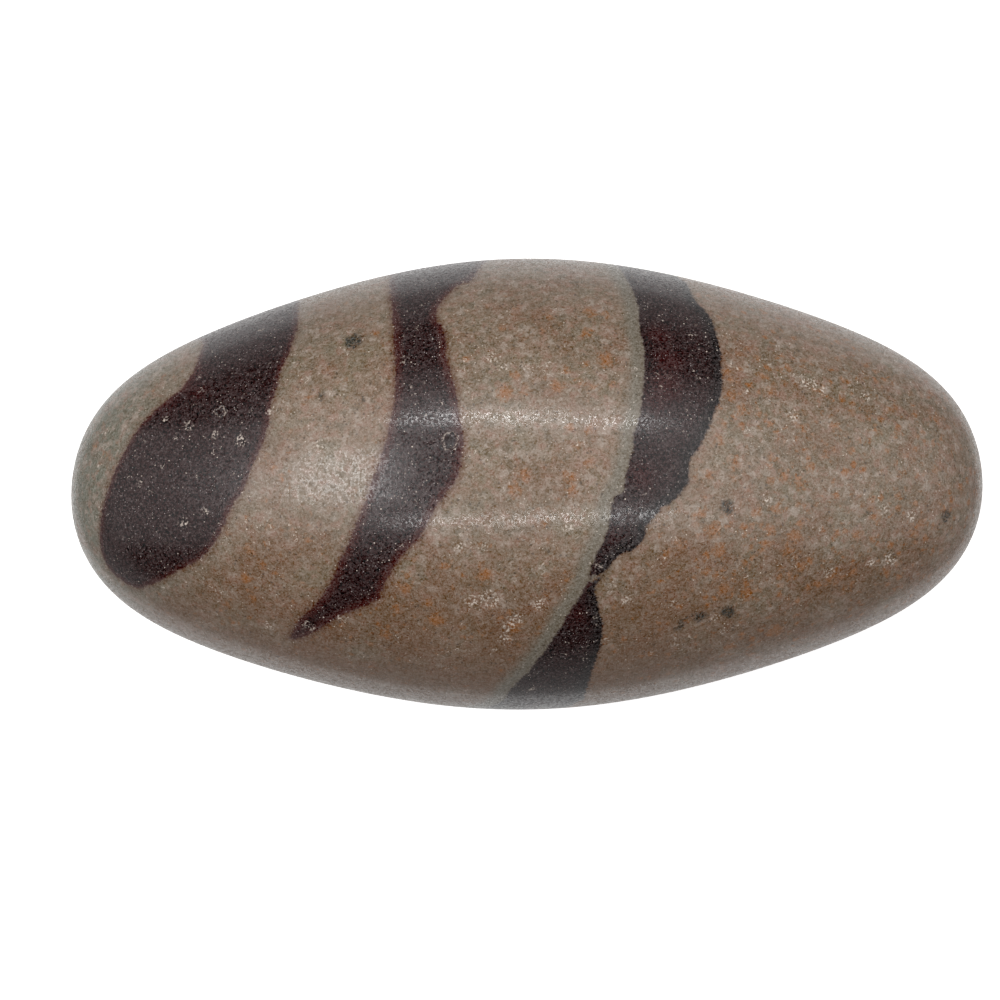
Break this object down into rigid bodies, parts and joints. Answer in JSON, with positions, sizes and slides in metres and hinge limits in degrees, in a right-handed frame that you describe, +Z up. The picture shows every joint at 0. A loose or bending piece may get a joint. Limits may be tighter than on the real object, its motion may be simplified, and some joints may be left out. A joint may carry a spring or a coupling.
{
  "type": "river pebble",
  "caption": "Long egg-ended polished river pebble of banded stone, lying on its side on a small worn flat.",
  "frame": {"origin": "on the surface the stone rests on, under the middle of its bounding box", "axes": "+X along the stone towards its slightly slimmer tip, +Y across it, +Z up"},
  "size_m": [0.1002, 0.0496, 0.0461],
  "materials": {
    "polished_stone": "ground and polished to a satin gloss, taupe with dark maroon bands and rust freckles"
  },
  "bodies": {
    "root": {"pebble": "polished_stone"}
  },
  "joints": []
}
